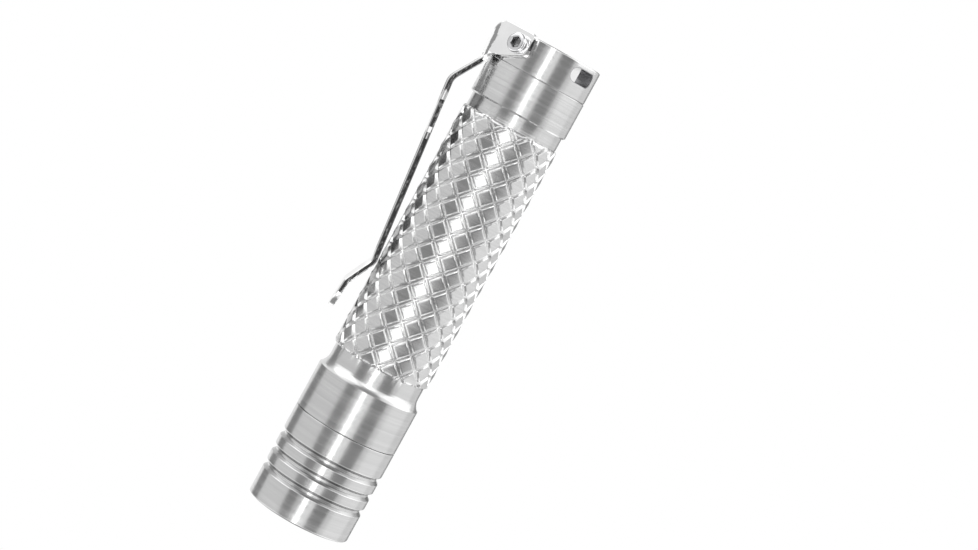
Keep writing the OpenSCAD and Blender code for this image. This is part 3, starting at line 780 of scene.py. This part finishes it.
polish = turned_steel("polished screw", (0.72, 0.72, 0.73), 0.14, 0.3, socket_painted_shade)
screw = piece("one screw", points, faces, polish)

tree, (spots, lean), out = tree_with_inputs("screws", "Lean")
about = Value(tree, tree.nodes.new("GeometryNodeInputPosition").outputs[0])
x, y, z = about.parts()
turn = x.math("ARCTAN2", y) * -1.0
angles = about.node("ShaderNodeCombineXYZ", {}, X=lean, Y=0.0, Z=turn + math.pi)
copies = spots.node("GeometryNodeInstanceOnPoints", {}, Points=spots, Rotation=angles,
                    Instance=spots.node("GeometryNodeObjectInfo", {}, out="Geometry", Object=screw))
whole = copies.node("GeometryNodeRealizeInstances", {}, Geometry=copies)
whole = whole.node("GeometryNodeSetMaterial", {}, Geometry=whole, Material=polish)
tree.links.new(whole.socket, out)
spots_mesh = bpy.data.meshes.new("screw spots")
spots_mesh.from_pydata([(side * math.sin(screw_turn) * ear_face * mm, -math.cos(screw_turn) * ear_face * mm,
                         screw_height * mm) for side in (-1, 1)], [], [])
screws = grown("clip_socket_screws", spots_mesh, tree, (math.pi / 2,), polish)
bpy.data.objects.remove(screw)
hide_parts("clip_screws")
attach(screws, "tail")

# ---------------------------------------------------------------------------------------------
# The pocket clip. One stamping of polished spring steel: two flat ears, a front panel with a
# round notch, a neck and waist with a slot each side of the bridge, and a turned-out round tip.
# ---------------------------------------------------------------------------------------------

clip_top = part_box("clip_mount")[1].z / mm
clip_thick, rim, ear_gap = 0.7, 0.16, 0.07
clip_tip = tail_end - 41.7
tip_r, notch_r, notch_lip = 2.6, 3.6, 1.2
neck_top, neck_half, neck_fillet = 61.4, 3.5, 1.9
hole_ends = [clip_top - 2.28, tail_end - 4.2, tail_end - 12.85, tail_end - 16.5, tail_end - 33.5]


def between(points, z):
    """The value at z on a line through (z, value) points, in falling or rising z."""
    points = sorted(points)
    if z <= points[0][0]:
        return points[0][1]
    for (z0, a), (z1, b) in zip(points, points[1:]):
        if z <= z1:
            return a + (b - a) * (z - z0) / (z1 - z0)
    return points[-1][1]


side_line = [(7.62, clip_top + 0.01), (7.18, 62.05), (9.6, 58.05),
             (7.08, 33.2), (8.95, 29.45), (9.22, clip_tip - 0.01)]
side_bends = {1: 1.1, 2: 1.9, 3: 1.6, 4: 1.6}
side_curve = [(z, y) for y, z in [side_line[0]]
              + [p for i in range(1, 5)
                 for p in round_corner(side_line[i - 1], side_line[i], side_line[i + 1], side_bends[i], 8)]
              + [side_line[-1]]]


def half_width(z):
    """Half of the clip's unrolled width at a height."""
    low_ear = [(clip_tip + tip_r, tip_r), (34.6, 2.72), (tail_end - 17.5, 3.25), (tail_end - 15.9, 2.9),
               (tail_end - 12.3, 2.88), (tail_end - 11.0, 3.45), (tail_end - 6.2, neck_half)]
    end, corner = 9.0, 0.8
    if z < clip_tip + tip_r:
        return math.sqrt(max(0.0, tip_r ** 2 - (clip_tip + tip_r - z) ** 2))
    if z < neck_top:
        return between(low_ear, z)
    if z < 63.3:  # the hollow fillet from neck to ear
        return neck_half + neck_fillet - math.sqrt(max(0.0, neck_fillet ** 2 - (z - neck_top) ** 2))
    if z < 64.55:  # the ear's sloping lower edge
        return between([(63.3, 5.4), (63.75, 6.6), (64.55, 8.55)], z)
    if z > clip_top - corner:
        return end - corner + math.sqrt(max(0.0, corner ** 2 - (z - clip_top + corner) ** 2))
    return between([(64.55, 8.55), (64.95, 8.92), (65.2, end)], z)


def half_hole(z):
    """Half of the opening in the clip's middle at a height: notch, slots or nothing."""
    centre = clip_top + 1.32
    if centre - z < notch_r:
        fall = max(0.0, z - clip_top + notch_lip)
        flare = notch_lip - math.sqrt(max(0.0, notch_lip ** 2 - fall ** 2))
        return math.sqrt(notch_r ** 2 - (centre - z) ** 2) + flare
    for top, bottom, r_top, r_bottom in ((4.2, 12.85, 1.7, 1.7), (16.5, 33.5, 1.5, 1.22)):
        high, low = tail_end - top, tail_end - bottom
        if low < z < high:
            if z > high - r_top:
                return math.sqrt(r_top ** 2 - (z - high + r_top) ** 2)
            if z < low + r_bottom:
                return math.sqrt(r_bottom ** 2 - (low + r_bottom - z) ** 2)
            return between([(low + r_bottom, r_bottom), (high - r_top, r_top)], z)
    return 0.0


def levels():
    """Heights of the clip's rows, close together where its outline is round."""
    heights, z = {round(clip_top, 4), round(clip_tip, 4)}, clip_tip
    while z < clip_top:
        heights.add(round(z, 4))
        z += 0.22
    for end in [*hole_ends, clip_tip, clip_top, neck_top]:
        for k in range(9):
            for way in (-1, 1):
                z = end + way * 1.2 * (1 - math.cos(k / 9 * math.pi / 2))
                if clip_tip < z < clip_top:
                    heights.add(round(z, 4))
    return sorted(heights, reverse=True)


def clip_point(s, z):
    """The middle of the sheet, s aside in the unrolled strip at height z, and its outward side."""
    panel = between(side_curve, z)
    flat, flat_out = Vector((s, -panel, z)), Vector((0, -1, 0))
    if z < 61.6:
        return flat, flat_out
    side, turn = (1 if s >= 0 else -1), screw_turn
    ear = cap_r + ear_gap + clip_thick / 2
    bend_r = between([(62.0, 1.2), (64.0, 2.2), (66.0, 3.0)], z)
    bend_x = (ear - bend_r - (panel - bend_r) * math.cos(turn)) / math.sin(turn)
    s = abs(s)
    if s <= bend_x:
        point, a = Vector((s, -panel, z)), 0.0
    else:
        a = min((s - bend_x) / bend_r, turn)
        point = Vector((bend_x + bend_r * math.sin(a), -(panel - bend_r) - bend_r * math.cos(a), z))
        beyond = s - bend_x - a * bend_r
        point += beyond * Vector((math.cos(turn), math.sin(turn), 0)) if beyond > 0 else Vector()
    point.x *= side
    outward = Vector((side * math.sin(a), -math.cos(a), 0))
    k = min(1.0, max(0.0, (63.1 - z) / 1.5))
    k = k * k * (3 - 2 * k)
    return point.lerp(flat, k), outward.lerp(flat_out, k).normalized()


heights = levels()
edge_points = []
for z in heights:
    for side in (-1, 1):
        edge_points.append((side * half_width(z), z))
        if half_hole(z) > 0:
            edge_points.append((side * half_hole(z), z))
for end in hole_ends:
    edge_points.append((0.0, end))
top_edge = [(side * (4.55 + k * 0.1), clip_top) for side in (-1, 1) for k in range(37)]
near = kdtree.KDTree(len(edge_points) + len(top_edge))
for i, (s, z) in enumerate(edge_points + top_edge):
    near.insert((s, z, 0), i)
near.balance()

columns = [0.0, 0.04, 0.1, 0.2, 0.35, 0.5, 0.65, 0.8, 0.9, 0.96, 1.0]
front_grid, back_grid, vertices, faces = [], [], [], []
slope_step = 0.05
for z in heights:
    front_row, back_row = [], []
    for side in (-1, 1):
        inner, outer = half_hole(z), half_width(z)
        for c in columns:
            s = side * (inner + (outer - inner) * c)
            point, outward = clip_point(s, z)
            above, below = clip_point(s, z + slope_step)[0], clip_point(s, z - slope_step)[0]
            rise = (above - below).normalized()
            outward = (outward - rise * outward.dot(rise)).normalized()
            away = near.find((s, z, 0))[2]
            half = clip_thick / 2
            if away < rim:
                half = half - rim + math.sqrt(max(0.0, rim ** 2 - (rim - away) ** 2))
            front_row.append(len(vertices))
            vertices.append((point + outward * half) * mm)
            back_row.append(len(vertices))
            vertices.append((point - outward * half) * mm)
    front_grid.append(front_row)
    back_grid.append(back_row)
n = len(columns)
for j in range(len(heights) - 1):
    front_row, back_row = front_grid[j], back_grid[j]
    next_front, next_back = front_grid[j + 1], back_grid[j + 1]
    for start in (0, n):
        for i in range(start, start + n - 1):
            faces.append((front_row[i], front_row[i + 1], next_front[i + 1], next_front[i]))
            faces.append((back_row[i], next_back[i], next_back[i + 1], back_row[i + 1]))
        for i in (start, start + n - 1):
            if i == start and half_hole((heights[j] + heights[j + 1]) / 2) == 0.0:
                continue
            faces.append((front_row[i], back_row[i], next_back[i], next_front[i]))
for i in [*range(n - 1), *range(n, 2 * n - 1)]:
    faces.append((front_grid[0][i], back_grid[0][i], back_grid[0][i + 1], front_grid[0][i + 1]))

clip_steel, shader, place = new_material("polished spring steel", (0.9, 0.9, 0.9), 1.0, 0.1)
hairs = noise(place, 5200.0, 2.0, (1, 1, 0.03))
smudge = noise(place, 240.0, 4.0)
scratches = noise(place, 1500.0, 5.0, (1, 1, 0.2)).step(0.62, 0.7)
height = place.parts()[2]
# Painted shade: the arm and the foot get a darker colour for the dark surroundings they reflect; the
# smudges are random tone.
arm = (height / mm).step(32.5, 34.0) * (1 - (height / mm).step(57.0, 59.0))
foot = 1 - (height / mm).step(32.0, 33.0)
tone_with_painted_shade = 0.92 - arm * 0.6 - foot * 0.3 + smudge.step(0.3, 0.8) * 0.08
connect(shader, Base_Color=tone_with_painted_shade.mix((0, 0, 0, 1), (1, 1, 1, 1)),
        Roughness=0.04 + smudge * 0.06 + scratches * 0.05 + hairs * 0.03,
        Normal=bump(hairs + scratches * 0.4, 0.000003, 0.3))
# The sheet's cut edges: rough punched steel, with a near-black colour that is painted shade for the dark
# they reflect.
punched_edge_painted_shade, shader, place = new_material("punched edge, painted shade", (0.2, 0.2, 0.2), 1.0, 0.3)
fine = noise(place, 2600.0, 3.0, (1, 1, 0.5))
connect(shader, Base_Color=fine.step(0.5, 0.7).mix((0.04, 0.04, 0.04, 1), (0.2, 0.2, 0.2, 1)),
        Roughness=0.28 + fine * 0.2, Normal=bump(fine, 0.00002, 0.5))
clip = piece("pocket_clip", vertices, faces, clip_steel)
clip.data.materials.append(punched_edge_painted_shade)
for face in clip.data.polygons:
    if abs(face.normal.x) > 0.985:
        face.material_index = 1
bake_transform(clip)
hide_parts("clip_mount", "clip_arm")

# ---------------------------------------------------------------------------------------------
# The studio: a camera, a floor that only the camera sees and only from above, and soft lights
# round the flashlight's axis. None of it belongs to the flashlight.
# ---------------------------------------------------------------------------------------------

view_azimuth = math.radians(86.41)
eye_level, eye_distance = 59.87 * mm, 311.3 * mm
lens, roll = 91.12, math.radians(28.83)
aim_aside, aim_height = 6.54 * mm, 38.5 * mm

camera = bpy.data.objects.new("camera", bpy.data.cameras.new("camera"))
bpy.context.collection.objects.link(camera)
bpy.context.scene.camera = camera
camera.data.lens, camera.data.sensor_width = lens, 36.0
camera.data.clip_start, camera.data.clip_end = 0.01, 20.0
aside = Vector((math.cos(view_azimuth), math.sin(view_azimuth), 0))
back = Vector((math.sin(view_azimuth), -math.cos(view_azimuth), 0))
camera.location = back * eye_distance + Vector((0, 0, eye_level))
look = (aside * aim_aside + Vector((0, 0, aim_height)) - camera.location).normalized()
right = look.cross(Vector((0, 0, 1))).normalized()
up = right.cross(look)
right, up = (right * math.cos(roll) + up * math.sin(roll), up * math.cos(roll) - right * math.sin(roll))
camera.matrix_world = Matrix.Translation(camera.location) @ Matrix((right, up, -look)).transposed().to_4x4()

floor_mesh = bpy.data.meshes.new("floor")
floor_half, floor_height = 3, -0.0004
corners = [(x * floor_half, y * floor_half, floor_height) for x, y in ((-1, -1), (1, -1), (1, 1), (-1, 1))]
floor_mesh.from_pydata(corners, [], [(0, 1, 2, 3)])
floor = bpy.data.objects.new("floor", floor_mesh)
bpy.context.collection.objects.link(floor)
paper = bpy.data.materials.new("white paper")
paper.use_nodes = True
nodes, links = paper.node_tree.nodes, paper.node_tree.links
nodes.clear()
bright, clear = nodes.new("ShaderNodeEmission"), nodes.new("ShaderNodeBsdfTransparent")
join = nodes.new("ShaderNodeMixShader")
camera_ray = Value(paper.node_tree, nodes.new("ShaderNodeLightPath").outputs["Is Camera Ray"])
below = Value(paper.node_tree, nodes.new("ShaderNodeNewGeometry").outputs["Backfacing"])
links.new((camera_ray * (1 - below)).socket, join.inputs[0])
links.new(clear.outputs[0], join.inputs[1])
links.new(bright.outputs[0], join.inputs[2])
links.new(join.outputs[0], nodes.new("ShaderNodeOutputMaterial").inputs["Surface"])
floor.data.materials.append(paper)
bpy.context.scene.view_settings.view_transform = "Standard"

world = bpy.data.worlds.new("studio")
bpy.context.scene.world = world
world.use_nodes = True
nodes, links = world.node_tree.nodes, world.node_tree.links
links.clear()
nodes.clear()
seen, lit = nodes.new("ShaderNodeBackground"), nodes.new("ShaderNodeBackground")
way = Value(world.node_tree, nodes.new("ShaderNodeTexCoord").outputs["Generated"])
steepness = way.parts()[2].math("ABSOLUTE")
side_glow = steepness.step(0.35, 0.65) * (1 - steepness.step(0.72, 0.95) * 0.9)
links.new((side_glow * 0.85 + 0.3).socket, lit.inputs["Strength"])
ray, join = nodes.new("ShaderNodeLightPath"), nodes.new("ShaderNodeMixShader")
output = nodes.new("ShaderNodeOutputWorld")
links.new(ray.outputs["Is Camera Ray"], join.inputs[0])
links.new(lit.outputs[0], join.inputs[1])
links.new(seen.outputs[0], join.inputs[2])
links.new(join.outputs[0], output.inputs["Surface"])
for background in (seen, lit):
    background.inputs["Color"].default_value = (1, 1, 1, 1)


def softbox(name, turn, height, distance, width, tall, power):
    """A soft light at an angle round the light's axis from the camera, facing the axis."""
    data = bpy.data.lights.new(name, "AREA")
    data.shape, data.size, data.size_y, data.energy = "RECTANGLE", width, tall, power
    lamp = bpy.data.objects.new(name, data)
    bpy.context.collection.objects.link(lamp)
    a = view_azimuth + math.radians(turn)
    lamp.location = Vector((math.sin(a) * distance, -math.cos(a) * distance, height))
    lamp.rotation_mode = "QUATERNION"
    lamp.rotation_quaternion = (lamp.location - Vector((0, 0, 0.035))).to_track_quat("Z", "Y")
    lamp.visible_camera = False


softbox("left box", -75, 0.0, 0.5, 0.66, 1.2, 1.25)
softbox("left upper box", -75, 0.45, 0.5, 0.66, 0.8, 1.3)
softbox("right box", 103, 0.0, 0.5, 1.15, 1.2, 2.3)
softbox("right middle box", 91, 0.0, 0.49, 0.45, 1.2, 0.35)
softbox("right upper box", 98, 0.45, 0.5, 0.95, 0.8, 1.5)
softbox("strip", -0.4, 0.035, 0.5, 0.08, 1.2, 0.85)
softbox("strip's left skirt", -13.5, 0.035, 0.5, 0.09, 1.2, 0.12)
softbox("strip's right skirt", 14.5, 0.035, 0.5, 0.11, 1.2, 0.32)
softbox("backdrop", -166, 0.035, 0.6, 0.6, 1.2, 1.6)
